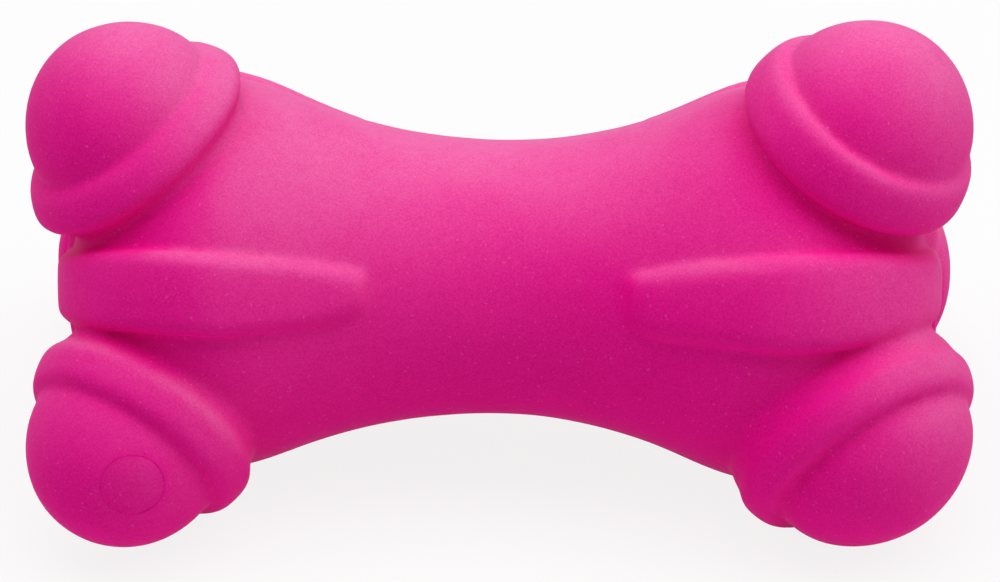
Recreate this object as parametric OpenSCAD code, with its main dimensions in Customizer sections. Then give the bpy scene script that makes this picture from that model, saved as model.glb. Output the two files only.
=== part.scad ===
// Stuffed latex chew bone with three knobs at each end.
// Z is up and X runs along the bone. The origin lies under the middle, on the surface it stands on.

/* [Bone] */
// Overall length, over the domes
bone_l = 150; // [140:1:165]
// Angle between a knob's axis and the long axis, in degrees
knob_angle = 58.8; // [56:0.2:62]
// Thickness of the latex
wall = 2.6; // [1.8:0.1:3]
// Depth of the flat that each lower knob stands on
rest_flat = 0.5; // [0.3:0.05:0.8]

/* [Shaft] */
// Radius of the shaft at its middle
waist_r = 22.2; // [21:0.1:24]
// Radius of the hollow curve along the shaft
waist_curve_r = 74.7; // [66:0.5:90]
// Radius of the rounding at each end of the shaft
hub_round_r = 26; // [24:0.5:28]
// Distance of that rounding's centre from the long axis
hub_rise = 7; // [5:0.5:8]
// How far the end of the shaft lies behind the domes
end_recess = 6; // [5:0.1:8]

/* [Knobs] */
// Radius of a knob's dome
dome_r = 16.5; // [15.5:0.1:17.5]
// Distance from the meeting point of the knobs to a dome's centre
dome_reach = 34.6; // [33:0.1:36]
// Radius of the collar round a knob, at its foot
collar_r = 20.1; // [19.5:0.1:21]
// Radius of the collar at its ridge, beside the dome
ridge_r = 18.6; // [18:0.1:19.2]
// Width of the collar, from its foot to its ridge
collar_w = 7.8; // [7:0.1:8.4]
// Radius of the collar's rounded edges
collar_edge_r = 1.4; // [1:0.1:1.8]
// Distance from the meeting point of the knobs to the collar's foot
collar_reach = 28.8; // [28:0.1:29.6]

/* [Ribs] */
// Height of a rib above the shaft
rib_h = 1.8; // [1:0.1:2.4]
// Distance from the middle of the bone to a rib's inner end
rib_start = 20.4; // [18:0.1:24]
// Width of a rib at its inner end
rib_tip_w = 5; // [3:0.1:6]
// Width of a rib where it is widest
rib_w = 13.6; // [11:0.1:15]
// Width of a rib where it turns over the end
rib_end_w = 10.4; // [9:0.1:12]

/* [Filling hole] */
// Radius of the filling plug's stem
plug_r = 5; // [4:0.1:5.5]
// Radius of the plug's inner flange
plug_flange_r = 6.6; // [6:0.1:7]
// Thickness of the plug's inner flange
plug_flange_t = 1.2; // [0.8:0.1:1.8]
// Turn of the plug about the dome, seen from above, in degrees
plug_turn = -82; // [-90:1:-70]
// Tilt of the plug from upright, in degrees
plug_tilt = 76.5; // [70:0.5:84]
// Radius of the vent under the shaft
vent_r = 0.8; // [0.5:0.1:1.2]
// Distance of the vent from the middle of the bone
vent_x = 15; // [13.5:0.5:18]

/* [Filling] */
// Distance from the meeting point of the knobs to the inner face of a knob's wad
wad_start = 14.5; // [13.6:0.1:17]

/* [Squeaker] */
// Outer radius of the bellows
bellows_r = 12; // [10.5:0.1:13]
// Depth of a bellows fold
fold_depth = 2.8; // [1.5:0.1:3.2]
// Thickness of the bellows wall, measured across
bellows_wall = 0.8; // [0.5:0.05:1]
// Length of the bellows
bellows_l = 14; // [12:0.5:16]
// Number of bellows folds
fold_count = 4; // [3:1:5]
// Radius of the squeaker's head and crown
head_r = 10.4; // [9.8:0.1:11]
// Thickness of the squeaker's head
head_t = 2; // [1.2:0.1:2.5]
// Thickness of the squeaker's crown
crown_t = 1.5; // [1:0.1:2]
// Radius of the socket that holds the reed tube
socket_r = 5; // [4.6:0.1:6]
// Length of the socket, head included
socket_l = 5; // [4:0.1:6]
// Outer radius of the reed tube
tube_r = 3.6; // [3.4:0.05:4]
// Bore radius of the reed tube
tube_bore_r = 2.8; // [2.5:0.05:3]
// Length of the reed tube
tube_l = 9; // [8:0.1:10]
// How far the reed tube stands out below the head
tube_out = 4.5; // [3.5:0.1:5]

/* [Reed] */
// Length of the half-round reed seat
seat_l = 8; // [7:0.1:8.4]
// Width of the air channel in the seat
channel_w = 2; // [1.4:0.1:2.6]
// Depth of the air channel in the seat
channel_depth = 1.4; // [0.8:0.1:1.8]
// Width of the reed blade
blade_w = 3.4; // [2.8:0.1:4]
// Thickness of the reed blade
blade_t = 0.15; // [0.1:0.01:0.2]
// Length of the reed blade
blade_l = 5.2; // [4:0.1:5.6]
// Length of the wedge that clamps the blade's root
wedge_l = 2; // [1.4:0.1:2.4]

/* [Clearances] */
// Gap round each wad of filling
wad_gap = 0.3; // [0.2:0.05:0.4]
// Gap round the filling plug
plug_gap = 0.05; // [0.03:0.01:0.1]
// Gap round the squeaker in its pocket
pocket_gap = 0.4; // [0.3:0.05:0.6]
// Gap between the pressed parts of the squeaker
press_gap = 0.02; // [0.01:0.01:0.04]
// Gap between the reed blade and its seat
blade_gap = 0.1; // [0.08:0.01:0.12]

/* [Hidden] */
$fn = 64;

// The knobs point up, to the front and to the rear, evenly round the long axis
top_turn = 0;
front_turn = 120;
rear_turn = -front_turn;
knob_turns = [top_turn, front_turn, rear_turn];
half_turn = 180;
left_side = -1;
right_side = 1;
// Where the knobs' axes meet, from the middle
hub_x = bone_l / 2 - dome_r - dome_reach * cos(knob_angle);
// Where the hub's rounding is centred, from the middle
hub_round_x = bone_l / 2 - end_recess - hub_round_r;
// Shares of a length along a lower knob's axis, and of one across it, that go straight down
knob_drop_share = sin(knob_angle) * cos(front_turn - half_turn);
knob_side_share = sqrt(1 - knob_drop_share ^ 2);
// Centres of the roundings at the collar's foot and ridge, as radius and height on the knob's axis
foot_centre = [collar_r - collar_edge_r, collar_reach + collar_edge_r];
ridge_centre = [ridge_r - collar_edge_r, collar_reach + collar_w - collar_edge_r];
// How far the lower collars and domes reach below the long axis
foot_drop = foot_centre * [knob_side_share, knob_drop_share] + collar_edge_r;
ridge_drop = ridge_centre * [knob_side_share, knob_drop_share] + collar_edge_r;
dome_drop = dome_reach * knob_drop_share + dome_r;
axis_z = max(foot_drop, ridge_drop, dome_drop) - rest_flat;
// Radius of the hollow in a knob
bore_r = dome_r - wall;
// Overrun of the cuts
cut = bone_l;
// A rib is widest here, between its inner end and the end of the bone
rib_wide_share = 0.55;
rib_shoulder_share = 0.25;
rib_shoulder_w_share = 0.78;
rib_late_share = 0.8;
rib_l = bone_l / 2 - end_recess + rib_h - rib_start;
// Heights in the squeaker, measured from the long axis
head_top = -bellows_l / 2;
head_bottom = head_top - head_t;
tube_bottom = head_bottom - tube_out;
crown_bottom = bellows_l / 2;
crown_top = crown_bottom + crown_t;
seat_bottom = tube_bottom + (tube_l - seat_l) / 2;
wedge_top = seat_bottom + wedge_l;
// The blade's root reaches this far into its clamp
root_l = 2 * blade_t;

// Turns a shape that was drawn along Z so that it lies along X
module along_x() {
    rotate([0, 90, 0]) children();
}

// Puts a shape that was drawn up a knob's axis on one knob
module at_knob(side, turn) {
    translate([side * hub_x, 0, axis_z])
        rotate([turn, 0, 0])
            rotate([0, side * (90 - knob_angle), 0])
                children();
}

// Keeps the half of a flat shape that a turned profile needs
module right_half() {
    intersection() {
        children();
        translate([0, -cut]) square([cut, 2 * cut]);
    }
}

// Half outline of the shaft, drawn inwards by an inset, or outwards by a negative one
module shaft_profile(inset) {
    difference() {
        right_half() union() {
            translate([0, -hub_round_x]) square([hub_rise + hub_round_r - inset, 2 * hub_round_x]);
            for (side = [left_side, right_side])
                translate([hub_rise, side * hub_round_x]) circle(hub_round_r - inset);
            translate([0, inset - hub_round_x - hub_round_r])
                square([hub_rise, 2 * (hub_round_x + hub_round_r - inset)]);
        }
        translate([waist_r + waist_curve_r, 0]) circle(waist_curve_r + inset);
    }
}

module shaft_form(inset) {
    translate([0, 0, axis_z]) along_x() rotate_extrude() shaft_profile(inset);
}

// Half section of a collar: a band that narrows towards its ridge, with rounded edges
module collar_profile() {
    rise = ridge_centre - foot_centre;
    out = collar_edge_r * [rise[1], -rise[0]] / norm(rise);
    for (centre = [foot_centre, ridge_centre]) translate(centre) circle(collar_edge_r);
    polygon([
        [0, collar_reach],
        [foot_centre[0], collar_reach],
        foot_centre + out,
        ridge_centre + out,
        [ridge_centre[0], collar_reach + collar_w],
        [0, collar_reach + collar_w]
    ]);
}

// A knob: arm, collar and dome
module knob_form() {
    rotate_extrude() right_half() union() {
        square([bore_r + wall / 2, dome_reach]);
        collar_profile();
        translate([0, dome_reach]) circle(dome_r);
    }
}

// The room inside a knob, from a height up its axis
module knob_room(radius, low) {
    rotate_extrude() right_half() union() {
        translate([0, low]) square([radius, dome_reach - low]);
        difference() {
            translate([0, dome_reach]) circle(radius);
            square([2 * radius, low]);
        }
    }
}

// A rib's outline, from its inner end to where it turns over the end of the bone
module rib_outline() {
    widths = [
        [0, rib_tip_w],
        [rib_shoulder_share * rib_l, rib_shoulder_w_share * rib_w],
        [rib_wide_share * rib_l, rib_w],
        [rib_late_share * rib_l, rib_w],
        [rib_l, rib_end_w]
    ];
    last = len(widths) - 1;
    polygon(concat(
        [for (i = [0 : last]) [widths[i][0], widths[i][1] / 2]],
        [for (i = [last : -1 : 0]) [widths[i][0], -widths[i][1] / 2]]
    ));
}

// One rib, lying in the valley that is half way between two knobs
module rib(side, turn) {
    intersection() {
        shaft_form(-rib_h);
        translate([0, 0, axis_z])
            rotate([turn + half_turn, 0, 0])
                rotate([0, 0, side > 0 ? 0 : half_turn])
                    translate([rib_start, 0, 0])
                        linear_extrude(hub_rise + hub_round_r + 2 * rib_h) rib_outline();
    }
}

// The axis of the filling plug, from the centre of the left front dome
module at_plug() {
    translate([left_side * bone_l / 2 - left_side * dome_r, 0, axis_z])
        rotate([front_turn, 0, 0])
            translate([0, 0, dome_reach * sin(knob_angle)])
                rotate([-front_turn, 0, 0])
                    rotate([0, plug_tilt, plug_turn])
                        children();
}

module skin() {
    color([0.93, 0.16, 0.58])
    difference() {
        union() {
            shaft_form(0);
            for (side = [left_side, right_side], turn = knob_turns) {
                at_knob(side, turn) knob_form();
                rib(side, turn);
            }
        }
        union() {
            shaft_form(wall);
            for (side = [left_side, right_side], turn = knob_turns)
                at_knob(side, turn) knob_room(bore_r, wad_start);
        }
        at_plug() cylinder(r = plug_r + plug_gap, h = 2 * dome_r);
        translate([vent_x, 0, 0]) cylinder(r = vent_r, h = axis_z);
        translate([-cut, -cut, -2 * cut]) cube(2 * cut);
    }
}

module filling_plug() {
    color([0.85, 0.1, 0.5])
    at_plug() difference() {
        union() {
            intersection() {
                sphere(dome_r);
                cylinder(r = plug_r, h = dome_r);
            }
            intersection() {
                sphere(bore_r - plug_gap);
                cylinder(r = plug_flange_r, h = dome_r);
            }
        }
        sphere(bore_r - plug_gap - plug_flange_t);
    }
}

module knob_wad(side, turn) {
    color([0.93, 0.92, 0.88])
    difference() {
        at_knob(side, turn) knob_room(bore_r - wad_gap, wad_start);
        if (side == left_side && turn == front_turn)
            at_plug() difference() {
                cylinder(r = plug_flange_r + wad_gap, h = dome_r);
                sphere(bore_r - plug_gap - plug_flange_t - wad_gap);
            }
    }
}

// The squeaker's pocket between the two core wads
module pocket() {
    translate([0, 0, axis_z + tube_bottom - pocket_gap])
        cylinder(r = bellows_r + pocket_gap, h = crown_top - tube_bottom + 2 * pocket_gap);
}

module core_wad(side) {
    color([0.88, 0.87, 0.83])
    difference() {
        shaft_form(wall + wad_gap);
        translate([side > 0 ? wad_gap / 2 - 2 * cut : -wad_gap / 2, -cut, -cut]) cube(2 * cut);
        for (turn = knob_turns)
            at_knob(side, turn) knob_room(bore_r, wad_start - wad_gap);
        pocket();
    }
}

module at_squeaker(height) {
    translate([0, 0, axis_z + height]) children();
}

module squeaker_crown() {
    color([0.95, 0.95, 0.97])
    at_squeaker(crown_bottom) cylinder(r1 = head_r, r2 = head_r - crown_t / 2, h = crown_t);
}

module squeaker_bellows() {
    pitch = bellows_l / fold_count;
    in_r = bellows_r - fold_depth;
    folds = concat(
        [for (i = [0 : fold_count - 1]) each [[in_r, i * pitch], [bellows_r, (i + 1 / 2) * pitch]]],
        [[in_r, bellows_l]]
    );
    last = len(folds) - 1;
    color([0.9, 0.92, 0.97])
    at_squeaker(head_top) rotate_extrude() polygon(concat(
        folds,
        [for (i = [last : -1 : 0]) [folds[i][0] - bellows_wall, folds[i][1]]]
    ));
}

module squeaker_head() {
    color([0.9, 0.9, 0.93])
    at_squeaker(head_bottom) difference() {
        union() {
            cylinder(r = head_r, h = head_t);
            cylinder(r = socket_r, h = socket_l);
        }
        translate([0, 0, -cut]) cylinder(r = tube_r + press_gap, h = 2 * cut);
    }
}

module reed_tube() {
    color([0.8, 0.82, 0.86])
    at_squeaker(tube_bottom) difference() {
        cylinder(r = tube_r, h = tube_l);
        translate([0, 0, -cut]) cylinder(r = tube_bore_r, h = 2 * cut);
    }
}

// Half a cylinder that fits the tube's bore, behind a plane across it
module half_round(length, side, gap) {
    intersection() {
        cylinder(r = tube_bore_r - press_gap, h = length);
        translate([-cut, side > 0 ? gap : -gap - cut, 0]) cube([2 * cut, cut, length]);
    }
}

module reed_seat() {
    color([0.72, 0.75, 0.8])
    at_squeaker(seat_bottom) difference() {
        half_round(seat_l, left_side, blade_t / 2 + blade_gap);
        translate([-channel_w / 2, -channel_depth, wedge_l + root_l])
            cube([channel_w, 2 * channel_depth, seat_l]);
    }
}

module reed_blade() {
    color([0.85, 0.9, 0.95])
    at_squeaker(wedge_top - root_l)
        translate([-blade_w / 2, -blade_t / 2, 0]) cube([blade_w, blade_t, blade_l]);
}

module reed_wedge() {
    color([0.66, 0.7, 0.76])
    at_squeaker(seat_bottom) half_round(wedge_l, right_side, blade_t / 2 + blade_gap);
}

skin();
filling_plug();
knob_wad(left_side, top_turn);  // knob_wad_left_top
knob_wad(left_side, front_turn);  // knob_wad_left_front
knob_wad(left_side, rear_turn);  // knob_wad_left_rear
knob_wad(right_side, top_turn);  // knob_wad_right_top
knob_wad(right_side, front_turn);  // knob_wad_right_front
knob_wad(right_side, rear_turn);  // knob_wad_right_rear
core_wad(left_side);  // core_wad_left
core_wad(right_side);  // core_wad_right
squeaker_crown();
squeaker_bellows();
squeaker_head();
reed_tube();
reed_seat();
reed_blade();
reed_wedge();
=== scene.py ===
# Stuffed latex chew bone: the looks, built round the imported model
import math
import bpy
import numpy as np
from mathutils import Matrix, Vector
from mathutils.bvhtree import BVHTree


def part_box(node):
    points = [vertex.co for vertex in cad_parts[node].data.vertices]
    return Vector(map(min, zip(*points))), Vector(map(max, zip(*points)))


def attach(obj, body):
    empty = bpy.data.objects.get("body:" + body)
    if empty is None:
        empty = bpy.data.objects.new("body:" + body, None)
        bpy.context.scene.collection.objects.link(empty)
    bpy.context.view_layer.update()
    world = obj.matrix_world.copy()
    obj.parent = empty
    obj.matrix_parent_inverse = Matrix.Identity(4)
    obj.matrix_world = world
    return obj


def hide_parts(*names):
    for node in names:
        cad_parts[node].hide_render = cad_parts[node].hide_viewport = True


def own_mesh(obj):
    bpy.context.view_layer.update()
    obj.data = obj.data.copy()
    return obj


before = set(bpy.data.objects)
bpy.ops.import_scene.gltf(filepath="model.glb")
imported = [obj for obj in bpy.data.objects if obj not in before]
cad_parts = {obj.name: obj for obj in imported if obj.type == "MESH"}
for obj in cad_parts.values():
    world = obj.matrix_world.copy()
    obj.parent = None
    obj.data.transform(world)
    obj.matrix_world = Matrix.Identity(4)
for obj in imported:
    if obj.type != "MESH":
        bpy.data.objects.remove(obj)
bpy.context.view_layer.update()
mm = 0.001
tiny = 0.001 * mm

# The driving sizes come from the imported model
skinLow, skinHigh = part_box("skin")
bellowsLow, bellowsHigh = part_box("squeaker_bellows")
boneLength = skinHigh.x - skinLow.x
axisHeight = (bellowsLow.z + bellowsHigh.z) / 2  # the squeaker sits in the middle of the bone
leftSide = -1
rightSide = 1
print("frame loaded, bone length", round(boneLength / mm, 1), "mm")


# Small helpers, each one what a hand would do in the window

def useAlone(piece):
    bpy.ops.object.select_all(action="DESELECT")
    piece.select_set(True)
    bpy.context.view_layer.objects.active = piece


def addModifier(piece, kind, **settings):
    useAlone(piece)
    modifier = piece.modifiers.new(kind.title(), kind)
    for key, value in settings.items():
        setattr(modifier, key, value)
    bpy.ops.object.modifier_apply(modifier=modifier.name)


def carve(piece, tool, operation):
    addModifier(piece, "BOOLEAN", object=tool, operation=operation, solver="EXACT")
    bpy.data.objects.remove(tool)


def remesh(piece, voxel):
    addModifier(piece, "REMESH", mode="VOXEL", voxel_size=voxel)


def soften(piece, rounds, **settings):
    addModifier(piece, "SMOOTH", factor=0.5, iterations=rounds, **settings)


def addLumps(piece, name, size, **settings):
    lumps = bpy.data.textures.new(name, "CLOUDS")
    lumps.noise_scale = size
    addModifier(piece, "DISPLACE", texture=lumps, texture_coords="LOCAL", **settings)


def joinAll(pieces, name):
    useAlone(pieces[0])
    for piece in pieces:
        piece.select_set(True)
    bpy.ops.object.join()
    joined = bpy.context.object
    joined.name = name
    joined.data.name = name
    return joined


def copyOf(piece, name):
    twin = piece.copy()
    twin.data = piece.data.copy()
    twin.name = name
    twin.data.name = name
    bpy.context.scene.collection.objects.link(twin)
    return twin


def smoothShade(piece, angle=None):
    useAlone(piece)
    if angle is None:
        bpy.ops.object.shade_smooth()
    else:
        bpy.ops.object.shade_smooth_by_angle(angle=math.radians(angle))


roundSteps = 96
creaseAngle = 50  # degrees, sharper edges stay crisp


def turned(name, outline, steps=roundSteps):
    # A closed shape spun from an outline of (radius, height) points, like on a lathe
    bpy.ops.object.select_all(action="DESELECT")
    bpy.ops.mesh.primitive_plane_add(size=mm, location=(0, 0, 0))
    piece = bpy.context.object
    piece.name = name
    bpy.ops.object.mode_set(mode="EDIT")
    bpy.ops.mesh.select_mode(type="VERT")
    bpy.ops.mesh.select_all(action="SELECT")
    bpy.ops.mesh.merge(type="CENTER")
    bpy.ops.mesh.select_all(action="SELECT")
    bpy.ops.transform.translate(value=(outline[0][0], 0, outline[0][1]))
    for here, there in zip(outline, outline[1:]):
        step = (there[0] - here[0], 0, there[1] - here[1])
        bpy.ops.mesh.extrude_vertices_move(TRANSFORM_OT_translate={"value": step})
    bpy.ops.mesh.select_all(action="SELECT")
    bpy.ops.mesh.spin(steps=steps, angle=2 * math.pi, center=(0, 0, 0), axis=(0, 0, 1))
    bpy.ops.mesh.select_all(action="SELECT")
    bpy.ops.mesh.remove_doubles(threshold=tiny)
    bpy.ops.mesh.normals_make_consistent(inside=False)
    bpy.ops.object.mode_set(mode="OBJECT")
    return piece


def place(piece, location, turn=0, tilt=0):
    # Tilts a piece about Y, turns it about X, and moves it there
    useAlone(piece)
    piece.rotation_mode = "YXZ"
    piece.rotation_euler = (math.radians(turn), math.radians(tilt), 0)
    piece.location = location
    bpy.ops.object.transform_apply(location=True, rotation=True, scale=True)
    return piece


# The shaft, the knobs and their collars: sizes, and where each one sits

shaft = {
    "waistRadius": 22.2 * mm,
    "waistCurve": {leftSide: 87 * mm, rightSide: 74.7 * mm},  # the left half is a little slimmer
    "hubRound": 26 * mm,
    "hubRise": 6 * mm,
    "endRecess": 6.5 * mm,
    "blend": 3.5 * mm,
    "wall": 2.6 * mm,
    "points": 110,
}
# the ribs grow taller towards the ends
ribShaft = {**shaft, "hubRise": 7 * mm, "endRecess": 6 * mm}
evenRibShaft = {leftSide: {**ribShaft, "endRecess": 6.7 * mm}, rightSide: ribShaft}
stem = {"radius": 15 * mm, "length": 20 * mm, "groove": 2 * mm}
# Every knob is finished by hand, so each dome and collar has its own place along and out from the
# bone's axis, its turn round it and its lean from it in degrees; lengths here are in millimetres.
# The neck is how far the latex below the collar stands back, and soft how softly the collar
# runs out into the shaft
evenDome = dict(along=59.3, out=30.8, turn=-120, lean=58.5, radius=16.5, height=15.2, power=1.88)
evenCollar = dict(along=57.4, out=28.3, turn=-120, lean=59.5, radius=19.4, slope=0.2, half=3.7)
knobs = [
    dict(
        node="left_top", side=leftSide, neck=5.2, soft=0.8,
        dome=dict(along=60.1, out=29.0, turn=-1.9, lean=53.7, radius=16.3, height=15.1, power=1.85),
        collar=dict(along=59.0, out=26.3, turn=-1.7, lean=54.6, radius=19.8, slope=0.46, half=3.2),
    ),
    dict(
        node="left_front", side=leftSide, neck=3.2, soft=0.3,
        dome=dict(along=58.5, out=31.4, turn=116.5, lean=61.0, radius=16.0, height=16.7, power=2.0),
        collar=dict(along=56.8, out=28.7, turn=116.6, lean=62.2, radius=19.2, slope=0.17, half=3.75),
    ),
    dict(node="left_rear", side=leftSide, neck=3.6, soft=1, dome=evenDome, collar=evenCollar),
    dict(
        node="right_top", side=rightSide, neck=7, soft=0.8,
        dome=dict(along=59.0, out=32.5, turn=0.3, lean=60.3, radius=16.5, height=15.1, power=1.79),
        collar=dict(along=57.0, out=30.0, turn=1.7, lean=61.2, radius=19.4, slope=0.17, half=4.5),
    ),
    dict(
        node="right_front", side=rightSide, neck=2.4, soft=1,
        dome=dict(along=60.1, out=29.8, turn=120.3, lean=58.1, radius=17.2, height=13.6, power=1.9),
        collar=dict(along=58.2, out=27.8, turn=119.2, lean=59.0, radius=20.8, slope=0.28, half=3.35),
    ),
    dict(node="right_rear", side=rightSide, neck=3.6, soft=1, dome=evenDome, collar=evenCollar),
]
domeSteps = 40
# The collar's section from the groove to its foot: share of its half height, and how far it is
# drawn in from its face, in millimetres
collarSection = [
    (0.82, 3.6), (0.98, 2.7), (1.05, 2.0), (1.02, 1.35), (0.9, 0.75), (0.72, 0.35), (0.45, 0.1),
    (0.1, 0), (-0.25, 0), (-0.5, 0.15), (-0.72, 0.5), (-0.9, 1.0), (-1.04, 1.6),
]
# Below the collar its neck runs in by the knob's own depth: share of half height, share of depth
neckSection = [(-1.3, 0.65), (-1.6, 0.8)]
neckLength = 12  # millimetres
ribTurns = {"front": 60, "rear": -60, "below": 180}


def shaftRadius(form, height, outset):
    hubCentre = boneLength / 2 - form["endRecess"] - form["hubRound"]
    hubRadius = form["hubRound"] + outset
    beyond = max(0, abs(height) - hubCentre)
    hub = form["hubRise"] + math.sqrt(max(0, hubRadius ** 2 - beyond ** 2))
    bend = form["waistCurve"][rightSide if height > 0 else leftSide] - outset
    waist = form["waistRadius"] + bend + outset - math.sqrt(max(0, bend ** 2 - height ** 2))
    near = max(0, form["blend"] - abs(hub - waist)) / form["blend"]
    return min(hub, waist) - near ** 2 * form["blend"] / 4


def shaftOutline(form, outset):
    reach = boneLength / 2 - form["endRecess"] + outset
    outline = [(0, -reach)]
    for step in range(form["points"] + 1):
        height = -reach * math.cos(math.pi * step / form["points"])
        outline.append((shaftRadius(form, height, outset), height))
    outline.append((0, reach))
    return outline


def domeOutline(dome, inset, foot):
    # A dome on a stem, standing on the plane of the groove; the inset gives its hollow or its wad
    radius, height = dome["radius"] * mm - inset, dome["height"] * mm - inset
    stemRadius = min(stem["radius"], radius)
    outline = [(0, -foot), (stemRadius, -foot), (stemRadius, -stem["groove"])]
    power = dome["power"]
    for step in range(domeSteps + 1):
        share = math.sin(math.pi / 2 * step / domeSteps)
        outline.append((radius * (1 - share ** power) ** (1 / power), height * share))
    outline[-1] = (0, height)
    return outline


def collarOutline(collar, neck):
    ring = []
    section = collarSection + [(share, neck * depth) for share, depth in neckSection]
    for share, drawnIn in section:
        along = share * collar["half"]
        ring.append(((collar["radius"] - collar["slope"] * along - drawnIn) * mm, along * mm))
    ring.append(((collar["radius"] - neck) * mm, -neckLength * mm))
    return [(0, ring[0][1])] + ring + [(0, ring[-1][1])]


def knobAt(node):
    return next(one for one in knobs if one["node"] == node)


def onKnob(piece, side, form):
    angle = math.radians(form["turn"])
    along, out = form["along"] * mm, form["out"] * mm
    spot = (side * along, -out * math.sin(angle), axisHeight + out * math.cos(angle))
    return place(piece, spot, form["turn"], side * (90 - form["lean"]))


def besideKnob(places, side, form):
    # How far each place lies up the form's axis, and out from it
    turn, lean = math.radians(form["turn"]), math.radians(form["lean"])
    around = np.array((0, -math.sin(turn), math.cos(turn)))
    centre = np.array((side * form["along"] * mm, 0, axisHeight)) + form["out"] * mm * around
    axis = np.array((side * math.cos(lean), 0, 0)) + math.sin(lean) * around
    up = (places - centre) @ axis
    return up, np.linalg.norm(places - centre - up[:, None] * axis, axis=1)


def alongBone(piece, height=axisHeight):
    return place(piece, (0, 0, height), 0, 90)


# The skin: shaft, six knobs with collars and six ribs, melted together

rib = {
    "start": 20.6 * mm,
    # the share of the rib's length from its inner end, and how far its edges lie above and below
    # its middle line, in millimetres: the two ribs in front are finished by hand, the others even
    "even": [
        (0, 2, 2), (0.012, 3.2, 3.2), (0.05, 4.1, 4.1), (0.17, 5.1, 5.1), (0.3, 5.9, 5.9),
        (0.5, 6.8, 6.8), (0.62, 7, 7), (0.8, 6.6, 6.6), (0.9, 6.1, 6.1), (1, 5.2, 5.2),
    ],
    "frontLeft": [
        (0, 1.6, 2.2), (0.012, 2.6, 3.4), (0.05, 3.2, 4.4), (0.17, 4.2, 5.8), (0.3, 5, 6.5),
        (0.43, 5.6, 6.9), (0.56, 5.9, 6.8), (0.68, 5.9, 6.8), (0.78, 5.6, 6.9), (0.88, 4.9, 7.2),
        (0.96, 4, 7.2), (1, 3.4, 7),
    ],
    "frontRight": [
        (0, 1.6, 3.2), (0.012, 2.7, 4.8), (0.05, 3.5, 6), (0.11, 4.1, 6.7), (0.24, 5.5, 7.1),
        (0.37, 6.3, 7.4), (0.5, 7, 7.8), (0.62, 7.4, 7.7), (0.75, 7.4, 7), (0.88, 6.9, 6.2),
        (0.96, 6.4, 5.4), (1, 6, 4.8),
    ],
    # soft shoulders, as layers: how far each one is drawn in, and how high it stands
    "layers": [
        (-0.2 * mm, 0.75 * mm), (0.25 * mm, 1.25 * mm), (0.7 * mm, 1.65 * mm),
        (1.3 * mm, 1.95 * mm), (2.1 * mm, 2.1 * mm),
    ],
    "blank": 45 * mm,
}
skinLook = {
    "voxel": 0.5 * mm,
    "softening": 10,
    "footSoftening": 40,  # the collars run out softly into the shaft
    "footStart": 0.1,  # in half heights below the collar's middle
    "footReach": 7.5 * mm,
    "footSpread": 4 * mm,
    "weightSteps": 12,
    "share": 0.34,  # of the faces that are kept at the end
    "roomVoxel": 1.8 * mm,
    "roomSoftening": 2,
    "unevenSize": 22 * mm,
    "unevenDepth": 0.35 * mm,
}


def ribBlank(side, edges, form, inset, height):
    columns = len(edges) - 1
    start = rib["start"] + inset
    length = boneLength / 2 - form["endRecess"] + height - start
    bpy.ops.object.select_all(action="DESELECT")
    bpy.ops.mesh.primitive_grid_add(x_subdivisions=columns, y_subdivisions=1, size=2)
    piece = bpy.context.object
    for vertex in piece.data.vertices:
        share, above, below = edges[round((vertex.co.x + 1) / 2 * columns)]
        vertex.co.x = side * (start + share * length)
        vertex.co.y = above * mm - inset if vertex.co.y > 0 else inset - below * mm
    bpy.ops.object.mode_set(mode="EDIT")
    bpy.ops.mesh.select_all(action="SELECT")
    bpy.ops.mesh.extrude_region_move(TRANSFORM_OT_translate={"value": (0, 0, rib["blank"])})
    bpy.ops.mesh.select_all(action="SELECT")
    bpy.ops.mesh.normals_make_consistent(inside=False)
    bpy.ops.object.mode_set(mode="OBJECT")
    return piece


def makeRib(side, edges, form):
    layers = []
    for inset, height in rib["layers"]:
        layer = ribBlank(side, edges, form, inset, height)
        carve(layer, alongBone(turned("swollenShaft", shaftOutline(form, height)), 0), "INTERSECT")
        layers.append(layer)
    return joinAll(layers, "ribForm")


def readVertices(mesh, key):
    flat = np.empty(len(mesh.vertices) * 3)
    mesh.vertices.foreach_get(key, flat)
    return flat.reshape(-1, 3)


def markCollarFeet(skin):
    # A vertex group for the places where the collars run out into the shaft
    places = readVertices(skin.data, "co")
    weights = np.zeros(len(places))
    for one in knobs:
        collar = one["collar"]
        up, out = besideKnob(places, one["side"], collar)
        half, reach, spread = collar["half"] * mm, skinLook["footReach"], skinLook["footSpread"]
        share = np.clip(-up / half - skinLook["footStart"], 0, 1)
        share *= np.clip((reach + up) / (reach - half), 0, 1)
        share *= np.clip((collar["radius"] * mm + spread - out) / (spread / 2), 0, 1)
        weights = np.maximum(weights, one["soft"] * share)
    steps = np.round(weights * skinLook["weightSteps"]).astype(int)
    group = skin.vertex_groups.new(name="collarFeet")
    for step in range(1, skinLook["weightSteps"] + 1):
        group.add(np.flatnonzero(steps == step).tolist(), step / skinLook["weightSteps"], "REPLACE")


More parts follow.
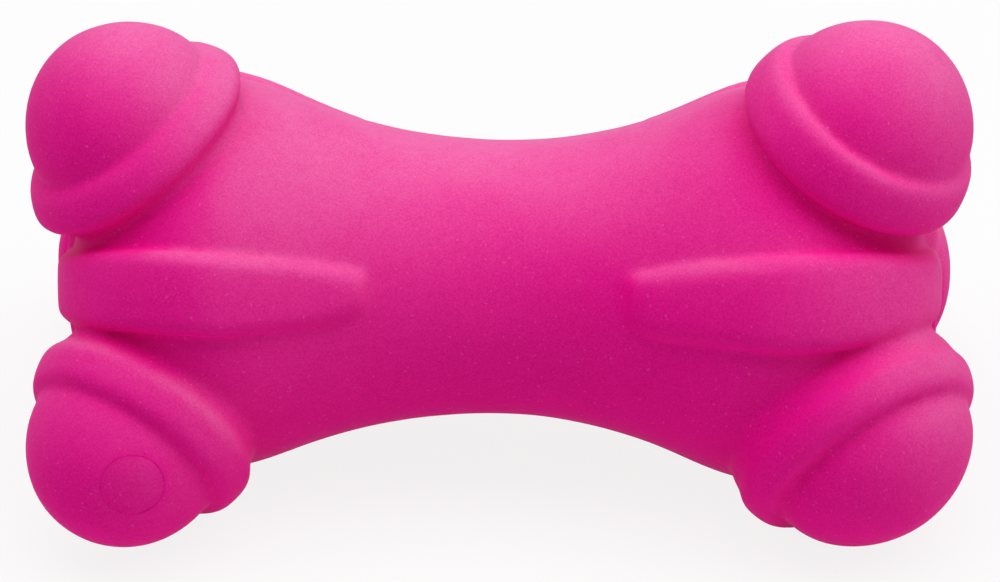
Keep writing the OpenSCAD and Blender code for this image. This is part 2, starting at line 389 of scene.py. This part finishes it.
def makeOuterSkin():
    parts = [alongBone(turned("shaftForm", shaftOutline(shaft, 0)))]
    for one in knobs:
        dome, collar = one["dome"], one["collar"]
        domeForm = turned("domeForm", domeOutline(dome, 0, stem["length"]))
        parts.append(onKnob(domeForm, one["side"], dome))
        ring = turned("collarForm", collarOutline(collar, one["neck"]))
        parts.append(onKnob(ring, one["side"], collar))
    for side, front in ((leftSide, "frontLeft"), (rightSide, "frontRight")):
        frontRib = makeRib(side, rib[front], ribShaft)
        parts.append(place(frontRib, (0, 0, axisHeight), ribTurns["front"]))
        even = makeRib(side, rib["even"], evenRibShaft[side])
        parts.append(place(copyOf(even, "ribForm"), (0, 0, axisHeight), ribTurns["rear"]))
        parts.append(place(even, (0, 0, axisHeight), ribTurns["below"]))
    skin = joinAll(parts, "latexSkin")
    remesh(skin, skinLook["voxel"])
    soften(skin, skinLook["softening"])
    markCollarFeet(skin)
    soften(skin, skinLook["footSoftening"], vertex_group="collarFeet")
    addLumps(skin, "unevenMould", skinLook["unevenSize"], mid_level=0.5,
             strength=skinLook["unevenDepth"])
    addModifier(skin, "DECIMATE", ratio=skinLook["share"])
    for vertex in skin.data.vertices:  # the latex is pressed flat where the bone stands
        vertex.co.z = max(vertex.co.z, 0)
    return skin


def makeRoom():
    parts = [alongBone(turned("shaftRoom", shaftOutline(shaft, -shaft["wall"])))]
    for one in knobs:
        outline = domeOutline(one["dome"], shaft["wall"], stem["length"])
        parts.append(onKnob(turned("knobRoom", outline), one["side"], one["dome"]))
    room = joinAll(parts, "room")
    remesh(room, skinLook["roomVoxel"])
    soften(room, skinLook["roomSoftening"])
    return room


def turnInsideOut(piece):
    useAlone(piece)
    bpy.ops.object.mode_set(mode="EDIT")
    bpy.ops.mesh.select_all(action="SELECT")
    bpy.ops.mesh.flip_normals()
    bpy.ops.object.mode_set(mode="OBJECT")


def trianglesOf(piece):
    piece.data.calc_loop_triangles()
    return len(piece.data.loop_triangles)


paintedSheenLook = {
    # painted sheen: pale where the latex is open to these light directions, each with its weight
    "from": [
        ((0.09, -0.99, 0.08), 0.142), ((0.83, -0.53, 0.17), 0.065), ((0.91, 0.33, 0.27), 0.09),
        ((-0.88, 0.36, 0.3), 0.2), ((0.89, -0.19, 0.42), 0.04), ((-0.51, 0.73, 0.45), 0.08),
        ((0.73, 0.1, 0.67), 0.135), ((0.32, 0.56, 0.77), 0.145), ((-0.2, 0.47, 0.86), 0.08),
        ((0.34, 0.18, 0.92), 0.03), ((-0.29, 0.08, 0.95), 0.045),
    ],
    "lift": 0.3 * mm,
    "reach": 120 * mm,
    "evenings": 9,  # rounds of smoothing
    "power": 3,
    "full": 0.165,
    "sheenEasing": 0.12,  # the strongest painted sheen is eased off again
    # a painted highlight on the upward-facing foot edge of the left front collar: its middle and
    # reach in shares of the collar's half height, how deep it goes, its weight, and how fast it
    # grows as the surface turns upwards
    "crest": {"node": "left_front", "middle": -0.7, "spread": 0.5, "depth": 4 * mm, "weight": 0.2,
              "upward": 2},
}


def evenedOut(mesh, places, rounds):
    # Each vertex goes half way to the mean of its neighbours, again and again
    ends = np.empty(len(mesh.edges) * 2, dtype=int)
    mesh.edges.foreach_get("vertices", ends)
    ends = ends.reshape(-1, 2)
    count = len(places)
    neighbours = np.bincount(ends.ravel(), minlength=count)[:, None]
    for _ in range(rounds):
        sums = [np.bincount(ends[:, 0], places[ends[:, 1], axis], count)
                + np.bincount(ends[:, 1], places[ends[:, 0], axis], count)
                for axis in range(places.shape[1])]
        places = (places + np.stack(sums, axis=1) / neighbours) / 2
    return places


def treeOf(piece):
    spots = [vertex.co for vertex in piece.data.vertices]
    return BVHTree.FromPolygons(spots, [face.vertices for face in piece.data.polygons])


# A painted highlight on the upward-facing foot edge of the left front collar
def crestHighlight(places, normals):
    crest = paintedSheenLook["crest"]
    one = knobAt(crest["node"])
    collar = one["collar"]
    up, out = besideKnob(places, one["side"], collar)
    ring = np.clip(1 - np.abs(up / (collar["half"] * mm) - crest["middle"]) / crest["spread"], 0, 1)
    ring *= out > collar["radius"] * mm - crest["depth"]
    return crest["weight"] * ring * np.clip(crest["upward"] * normals[:, 2], 0, 1)


def markPaintedSheen(piece, tree):
    # Painted sheen: how open each vertex is to the light directions, pale where lit, not where
    # shaded
    mesh = piece.data
    places, normals = readVertices(mesh, "co"), readVertices(mesh, "normal")
    starts = places + normals * paintedSheenLook["lift"]
    paintedLight = np.zeros(len(places))
    for side, weight in paintedSheenLook["from"]:
        facing = normals @ np.array(side)
        way = Vector(side)
        for index in np.flatnonzero(facing > 0):
            if tree.ray_cast(Vector(starts[index]), way, paintedSheenLook["reach"])[0] is None:
                paintedLight[index] += weight * facing[index]
    paintedLight += crestHighlight(places, normals)
    paintedLight = evenedOut(mesh, paintedLight[:, None], paintedSheenLook["evenings"])[:, 0]
    paintedSheen = np.clip(paintedLight ** paintedSheenLook["power"] / paintedSheenLook["full"], 0, 1)
    paintedSheen -= paintedSheenLook["sheenEasing"] * paintedSheen ** 2
    mesh.attributes.new("paintedSheen", "FLOAT", "POINT").data.foreach_set("value", paintedSheen)


# The filling plug, cured flush with the left front dome, and the vent under the shaft

plug = {
    "knob": "left_front",
    "start": Vector((-58.5 * mm, -25.6 * mm, axisHeight - 14.8 * mm)),
    "tilt": 76.5,
    "turn": -82,
    "radius": 5 * mm,
    "gap": 0.03 * mm,
    "flange": 6.6 * mm,
    "flangeRound": 12.2 * mm,  # radius of the flange's hollow inner face
    "flangeGap": 0.12 * mm,
    "hollowSteps": 32,
    "reach": (10 * mm, 24 * mm),
    "face": 16 * mm,  # what lies further along the plug's axis is its outer face
    "lumps": 5 * mm,
    "lumpDepth": 0.5 * mm,
}
vent = {"along": 15 * mm, "radius": 0.8 * mm}


def rod(name, radius, low, high):
    return turned(name, [(0, low), (radius, low), (radius, high), (0, high)])


def plugAxis():
    tilt, turn = math.radians(plug["tilt"]), math.radians(plug["turn"])
    flat = math.sin(tilt)
    return Vector((flat * math.cos(turn), flat * math.sin(turn), math.cos(tilt)))


def alongPlug(piece):
    useAlone(piece)
    piece.rotation_mode = "XYZ"
    piece.rotation_euler = (0, math.radians(plug["tilt"]), math.radians(plug["turn"]))
    piece.location = plug["start"]
    bpy.ops.object.transform_apply(location=True, rotation=True, scale=True)
    return piece


def plugHollow(radius):
    # A ball round the centre of the plug's dome
    one = knobAt(plug["knob"])
    outline = []
    for step in range(plug["hollowSteps"] + 1):
        angle = math.pi * step / plug["hollowSteps"]
        outline.append((radius * math.sin(angle), -radius * math.cos(angle)))
    return onKnob(turned("plugHollow", outline), one["side"], one["dome"])


def makePlug(outer, room):
    low, high = plug["reach"]
    piece = copyOf(outer, "fillingPlug")
    carve(piece, alongPlug(rod("stemRod", plug["radius"], low, high)), "INTERSECT")
    facing = piece.vertex_groups.new(name="outerFace")
    axis = plugAxis()
    for vertex in piece.data.vertices:
        if (vertex.co - plug["start"]).dot(axis) > plug["face"]:
            facing.add([vertex.index], 1, "REPLACE")
    addLumps(piece, "plugLumps", plug["lumps"], direction="Y", mid_level=0.5,
             strength=plug["lumpDepth"], vertex_group="outerFace")
    flange = copyOf(room, "plugFlange")
    carve(flange, alongPlug(rod("flangeRod", plug["flange"], low, high)), "INTERSECT")
    useAlone(flange)
    bpy.ops.transform.translate(value=axis * -plug["flangeGap"])
    bpy.ops.object.transform_apply(location=True, rotation=True, scale=True)
    carve(piece, flange, "UNION")
    carve(piece, plugHollow(plug["flangeRound"]), "DIFFERENCE")
    return piece


outerSkin = makeOuterSkin()
print("outer skin made,", trianglesOf(outerSkin), "triangles")
room = makeRoom()
fillingPlug = makePlug(outerSkin, room)
smoothShade(fillingPlug, creaseAngle)
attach(fillingPlug, "bone")
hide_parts("filling_plug")
print("plug made,", trianglesOf(fillingPlug), "triangles")

turnInsideOut(room)
latexSkin = joinAll([outerSkin, room], "latexSkin")
plugBore = rod("plugBore", plug["radius"] + plug["gap"], *plug["reach"])
carve(latexSkin, alongPlug(plugBore), "DIFFERENCE")
ventRod = rod("ventRod", vent["radius"], -axisHeight, axisHeight / 2)
carve(latexSkin, place(ventRod, (vent["along"], 0, 0)), "DIFFERENCE")
smoothShade(latexSkin, creaseAngle)
skinTree = treeOf(latexSkin)
# painted sheen on skin and plug: pale where open to the light, none where shaded
markPaintedSheen(latexSkin, skinTree)
markPaintedSheen(fillingPlug, skinTree)
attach(latexSkin, "bone")
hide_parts("skin")
print("skin made,", trianglesOf(latexSkin), "triangles")


# The filling: six wads of fibre in the knobs, and two in the shaft round the squeaker

wadLook = {
    "gap": 0.5 * mm,
    "foot": 19 * mm,
    "voxel": 1.1 * mm,
    "softening": 3,
    "lumps": 4 * mm,
    "lumpDepth": 0.7 * mm,  # inwards
    "fill": 0.85,
    "pocket": (12.9 * mm, -14.4 * mm, 9.4 * mm),  # radius and heights from the bone's axis
    "split": 0.3 * mm,
    "blank": 90 * mm,
}


def finishWad(wad, node):
    remesh(wad, wadLook["voxel"])
    soften(wad, wadLook["softening"])
    addLumps(wad, "fibreLumps", wadLook["lumps"], mid_level=1, strength=wadLook["lumpDepth"])
    smoothShade(wad)
    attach(wad, "bone")
    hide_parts(node)
    return wad


def makeKnobWad(one):
    inset = shaft["wall"] + wadLook["gap"]
    outline = domeOutline(one["dome"], inset, wadLook["foot"])
    wad = onKnob(turned("knobWad_" + one["node"], outline), one["side"], one["dome"])
    if one["node"] == plug["knob"]:  # room for the plug's flange
        recess = alongPlug(rod("recess", plug["flange"] + wadLook["gap"], *plug["reach"]))
        carve(recess, plugHollow(plug["flangeRound"] - wadLook["gap"]), "DIFFERENCE")
        carve(wad, recess, "DIFFERENCE")
    return finishWad(wad, "knob_wad_" + one["node"])


def makeCoreWad(side, node):
    outline = shaftOutline(shaft, -shaft["wall"] - wadLook["gap"])
    wad = alongBone(turned("coreWad_" + node, outline))
    half = rod("half", wadLook["blank"], wadLook["split"] / 2, wadLook["blank"])
    carve(wad, place(half, (0, 0, axisHeight), 0, side * 90), "INTERSECT")
    for one in knobs:
        if one["side"] == side:
            outline = domeOutline(one["dome"], shaft["wall"], wadLook["foot"] + wadLook["gap"])
            carve(wad, onKnob(turned("wadRoom", outline), side, one["dome"]), "DIFFERENCE")
    radius, low, high = wadLook["pocket"]
    carve(wad, rod("pocket", radius, axisHeight + low, axisHeight + high), "DIFFERENCE")
    return finishWad(wad, "core_wad_" + node)


wads = [makeKnobWad(one) for one in knobs]
wads += [makeCoreWad(leftSide, "left"), makeCoreWad(rightSide, "right")]
print("filling made,", sum(trianglesOf(wad) for wad in wads), "triangles")


# The squeaker's bellows, blow moulded with rounded folds

bellows = {
    "radius": 12 * mm,
    "foldDepth": 2.8 * mm,
    "wall": 0.8 * mm,
    "folds": 4,
    "foldSteps": 14,
    "roundSteps": 72,
    "press": 6 * mm,
}


def makeBellows():
    low, high = bellowsLow.z, bellowsHigh.z
    count = bellows["folds"] * bellows["foldSteps"]
    outer = []
    for step in range(count + 1):
        rise = 0.5 - 0.5 * math.cos(2 * math.pi * step / bellows["foldSteps"])
        radius = bellows["radius"] - bellows["foldDepth"] * (1 - rise)
        outer.append((radius, low + (high - low) * step / count))
    inner = [(radius - bellows["wall"], height) for radius, height in reversed(outer)]
    return turned("squeakerBellows", outer + inner + outer[:1], bellows["roundSteps"])


squeakerBellows = makeBellows()
smoothShade(squeakerBellows, creaseAngle)
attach(squeakerBellows, "bone")
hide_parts("squeaker_bellows")
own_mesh(squeakerBellows)
print("bellows made,", trianglesOf(squeakerBellows), "triangles")


# Materials: one wrapper for sockets, so that shader maths reads as sums

class Wire:
    def __init__(self, tree, socket):
        self.tree = tree
        self.socket = socket

    def node(self, kind, settings=None, values=None, output=0):
        made = self.tree.nodes.new(kind)
        for key, value in (settings or {}).items():
            setattr(made, key, value)
        for key, value in (values or {}).items():
            if isinstance(value, Wire):
                self.tree.links.new(value.socket, made.inputs[key])
            else:
                made.inputs[key].default_value = value
        return Wire(self.tree, made.outputs[output])

    def maths(self, operation, first, second=0.0):
        return self.node("ShaderNodeMath", {"operation": operation}, {0: first, 1: second})

    def __add__(self, other):
        return self.maths("ADD", self, other)

    def __radd__(self, other):
        return self.maths("ADD", other, self)

    def __sub__(self, other):
        return self.maths("SUBTRACT", self, other)

    def __rsub__(self, other):
        return self.maths("SUBTRACT", other, self)

    def __mul__(self, other):
        return self.maths("MULTIPLY", self, other)

    def __rmul__(self, other):
        return self.maths("MULTIPLY", other, self)

    def noise(self, size, detail=2.0, roughness=0.5):
        settings = {"noise_dimensions": "3D"}
        values = {"Vector": self, "Scale": 1 / size, "Detail": detail, "Roughness": roughness}
        return self.node("ShaderNodeTexNoise", settings, values)

    def between(self, low, high):
        # 0 below low, 1 above high
        values = {"Value": self, "From Min": low, "From Max": high, "To Min": 0.0, "To Max": 1.0}
        return self.node("ShaderNodeMapRange", {"clamp": True}, values)

    def blend(self, first, second):
        # The first colour where this wire is 0, the second where it is 1
        return self.node("ShaderNodeMix", {"data_type": "RGBA"}, {0: self, 6: first, 7: second}, 2)

    def bump(self, strength, depth):
        values = {"Strength": strength, "Distance": depth, "Height": self}
        return self.node("ShaderNodeBump", {}, values)


def newMaterial(name, **settings):
    # A material with its Principled shader and a wire of object coordinates
    material = bpy.data.materials.new(name)
    material.use_nodes = True
    tree = material.node_tree
    shader = tree.nodes["Principled BSDF"]
    for key, value in settings.items():
        shader.inputs[key.replace("_", " ")].default_value = value
    coordinates = tree.nodes.new("ShaderNodeTexCoord")
    return material, shader, Wire(tree, coordinates.outputs["Object"])


def feed(shader, key, wire):
    wire.tree.links.new(wire.socket, shader.inputs[key])


cloudRange = (0.3, 0.7)  # what part of a noise is spread over 0 to 1
grainRange = (0.35, 0.65)
latexLook = {
    "colour": (0.93, 0.0016, 0.31, 1),
    "deep": (0.79, 0.0008, 0.25, 1),
    # pale colour of the painted sheen, standing in for light on open faces
    "paintedSheen": (0.87, 0.165, 0.43, 1),
    "tones": {"pinkLatex": 0, "plugLatex": 0.12},  # share of the deep colour that is mixed in
    "speck": 0.3 * mm,
    "dot": 0.5 * mm,
    "dotRange": (0.77, 0.83),  # only the peaks of a noise become dots
    "pebble": 0.5 * mm,
    "pebbleDepth": 0.09 * mm,
    "pebbleStrength": 0.7,
    "fleck": 1.6 * mm,
    "patch": 9 * mm,
    # shares of the grain, flecks and patches, in the colour and in how the painted sheen lies
    "colourShares": (0.6, 0.2, 0.2),
    "paintedSheenShares": (0.45, 0.2, 0.2),
    "paintedSheenEverywhere": 0.62,
    "looseGrain": 0.025,  # real powder specks, also where no painted sheen lies
    "looseDots": 0.25,
    "roughness": 0.5,
    "grainRoughness": 0.1,
    "gloss": 0.02,
}


def latexMaterial(name):
    material, shader, spot = newMaterial(name, Specular_IOR_Level=latexLook["gloss"])
    grain = spot.noise(latexLook["speck"], 2).between(*grainRange)
    flecks = spot.noise(latexLook["fleck"], 3).between(*cloudRange)
    patches = spot.noise(latexLook["patch"], 3).between(*cloudRange)
    dots = spot.noise(latexLook["dot"], 0).between(*latexLook["dotRange"])
    paintedSheen = spot.node("ShaderNodeAttribute", {"attribute_name": "paintedSheen"}, {}, "Fac")
    byGrain, byFlecks, byPatches = latexLook["colourShares"]
    lit = grain * byGrain + flecks * byFlecks + patches * byPatches - latexLook["tones"][name]
    base = lit.blend(latexLook["deep"], latexLook["colour"])
    byGrain, byFlecks, byPatches = latexLook["paintedSheenShares"]
    cover = latexLook["paintedSheenEverywhere"] + patches * byPatches + flecks * byFlecks + grain * byGrain
    # painted sheen where the latex is open to the light, plus real powder specks
    sheenAndPowder = paintedSheen * cover + grain * latexLook["looseGrain"] + dots * latexLook["looseDots"]
    feed(shader, "Base Color", sheenAndPowder.blend(base, latexLook["paintedSheen"]))
    feed(shader, "Roughness", latexLook["roughness"] + grain * latexLook["grainRoughness"])
    pebbles = spot.noise(latexLook["pebble"], 2)
    feed(shader, "Normal", pebbles.bump(latexLook["pebbleStrength"], latexLook["pebbleDepth"]))
    return material


fibreLook = {
    "pale": (0.88, 0.87, 0.83, 1),
    "dark": (0.66, 0.64, 0.58, 1),
    "strand": 0.5 * mm,
    "drawn": (0.2, 1, 1),  # the strands are drawn out along the bone
    "tuft": 5 * mm,
    "colourShares": (0.7, 0.3),  # strands and tufts
    "heightShares": (0.6, 0.4),
    "height": 0.4 * mm,
    "heightStrength": 0.6,
    "roughness": 0.9,
    "sheen": 0.3,
}


def fibreMaterial():
    # Loose polyester: fine strands in soft tufts
    material, shader, spot = newMaterial("stuffingFibre", Roughness=fibreLook["roughness"],
                                         Sheen_Weight=fibreLook["sheen"])
    drawn = spot.node("ShaderNodeMapping", {}, {"Vector": spot, "Scale": fibreLook["drawn"]})
    strands = drawn.noise(fibreLook["strand"], 5, 0.7).between(*grainRange)
    tufts = spot.noise(fibreLook["tuft"], 3).between(*cloudRange)
    byStrands, byTufts = fibreLook["colourShares"]
    lit = strands * byStrands + tufts * byTufts
    feed(shader, "Base Color", lit.blend(fibreLook["dark"], fibreLook["pale"]))
    byStrands, byTufts = fibreLook["heightShares"]
    height = strands * byStrands + tufts * byTufts
    feed(shader, "Normal", height.bump(fibreLook["heightStrength"], fibreLook["height"]))
    return material


plasticLooks = {  # colour, roughness and share of light that goes through
    "bellowsPlastic": ((0.84, 0.86, 0.9, 1), 0.38, 0.1),
    "headPlastic": ((0.88, 0.88, 0.91, 1), 0.32, 0),
    "reedPlastic": ((0.62, 0.66, 0.73, 1), 0.3, 0),
    "reedFilm": ((0.8, 0.87, 0.93, 1), 0.12, 0.5),
}
plasticGrain = {
    "cloud": 2.5 * mm,
    "shade": 0.93,  # how dark the clouding gets
    "smear": 0.8 * mm,
    "smearRoughness": 0.12,
    "pebble": 0.25 * mm,
    "pebbleDepth": 0.02 * mm,
    "pebbleStrength": 0.15,
}


def plasticMaterial(name):
    # Moulded plastic: faint clouding in its colour, and a slightly uneven gloss
    colour, roughness, clear = plasticLooks[name]
    material, shader, spot = newMaterial(name, Transmission_Weight=clear)
    clouds = spot.noise(plasticGrain["cloud"], 3).between(*cloudRange)
    darker = tuple(plasticGrain["shade"] * part for part in colour[:3]) + (1,)
    feed(shader, "Base Color", clouds.blend(darker, colour))
    smears = spot.noise(plasticGrain["smear"], 2)
    feed(shader, "Roughness", roughness + smears * plasticGrain["smearRoughness"])
    pebbles = spot.noise(plasticGrain["pebble"], 1)
    bump = pebbles.bump(plasticGrain["pebbleStrength"], plasticGrain["pebbleDepth"])
    feed(shader, "Normal", bump)
    return material


def dress(piece, material):
    piece.data.materials.clear()
    piece.data.materials.append(material)


dress(latexSkin, latexMaterial("pinkLatex"))
dress(fillingPlug, latexMaterial("plugLatex"))
fibre = fibreMaterial()
for wad in wads:
    dress(wad, fibre)
bellowsPlastic = plasticMaterial("bellowsPlastic")
dress(squeakerBellows, bellowsPlastic)
reedPlastic = plasticMaterial("reedPlastic")
cadLooks = {
    "squeaker_crown": bellowsPlastic,
    "squeaker_head": plasticMaterial("headPlastic"),
    "reed_tube": reedPlastic,
    "reed_seat": reedPlastic,
    "reed_wedge": reedPlastic,
    "reed_blade": plasticMaterial("reedFilm"),
}
for name, material in cadLooks.items():
    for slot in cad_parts[name].material_slots:
        slot.material = material
print("materials made")


# Floor, light and camera

floorLook = {"size": 6, "colour": (0.9, 0.9, 0.9, 1), "roughness": 0.9, "glowShare": 0.85}
white = (1, 1, 1, 1)
lamps = {"size": 0.6, "aim": Vector((0, 0, 0.03))}
softboxes = {  # where each one hangs, in metres, and its power in watts
    "above": (Vector((0, 0, 0.85)), 2.85),
    "right": (Vector((0.55, 0, 0.7)), 2.7),
    "left": (Vector((-0.55, 0, 0.7)), 1.35),
    "behind": (Vector((-0.45, 0.45, 0.65)), 0.7),
}
skyStrength = 0.26
view = {
    "azimuth": 1.8,
    "elevation": 35.5,
    "distance": 0.684,
    "lens": 151.6,
    "sensor": 36,
    "drop": 2.3 * mm,
}


def makeFloor():
    bpy.ops.object.select_all(action="DESELECT")
    bpy.ops.mesh.primitive_plane_add(size=floorLook["size"], location=(0, 0, 0))
    floor = bpy.context.object
    floor.name = "paleFloor"
    material, shader, spot = newMaterial("paleFloor", Base_Color=floorLook["colour"],
                                         Roughness=floorLook["roughness"])
    # Seen straight, in gloss or through plastic it is nearly white, and it keeps its shadows
    kinds = ("Is Camera Ray", "Is Glossy Ray", "Is Transmission Ray")
    seen, inGloss, through = (spot.node("ShaderNodeLightPath", output=kind) for kind in kinds)
    rays = seen.maths("MAXIMUM", seen, seen.maths("MAXIMUM", inGloss, through))
    glow = spot.node("ShaderNodeEmission", {}, {"Color": white, "Strength": 1.0})
    mix = spot.node("ShaderNodeMixShader", {}, {0: rays * floorLook["glowShare"], 2: glow})
    tree = material.node_tree
    tree.links.new(shader.outputs[0], mix.socket.node.inputs[1])
    tree.links.new(mix.socket, tree.nodes["Material Output"].inputs["Surface"])
    floor.data.materials.append(material)


def makeSoftbox(side):
    spot, power = softboxes[side]
    bpy.ops.object.light_add(type="AREA", location=spot)
    light = bpy.context.object
    light.name = "softbox_" + side
    light.rotation_mode = "QUATERNION"
    light.rotation_quaternion = (lamps["aim"] - spot).to_track_quat("-Z", "Y")
    light.data.shape = "SQUARE"
    light.data.size = lamps["size"]
    light.data.energy = power


def makeSky():
    world = bpy.data.worlds.new("studio")
    world.use_nodes = True
    background = world.node_tree.nodes["Background"]
    background.inputs["Color"].default_value = white
    background.inputs["Strength"].default_value = skyStrength
    bpy.context.scene.world = world


def makeCamera():
    azimuth, elevation = math.radians(view["azimuth"]), math.radians(view["elevation"])
    flat = math.cos(elevation)
    back = Vector((math.sin(azimuth) * flat, -math.cos(azimuth) * flat, math.sin(elevation)))
    centre = Vector((0, 0, axisHeight))
    turn = (-back).to_track_quat("-Z", "Y")
    aim = centre - turn @ Vector((0, view["drop"], 0))
    bpy.ops.object.camera_add(location=centre + back * view["distance"])
    camera = bpy.context.object
    camera.rotation_mode = "QUATERNION"
    camera.rotation_quaternion = (aim - camera.location).to_track_quat("-Z", "Y")
    camera.data.lens = view["lens"]
    camera.data.sensor_width = view["sensor"]
    bpy.context.scene.camera = camera


makeFloor()
for side in softboxes:
    makeSoftbox(side)
makeSky()
makeCamera()
bpy.context.scene.view_settings.view_transform = "Standard"
print("stage made")
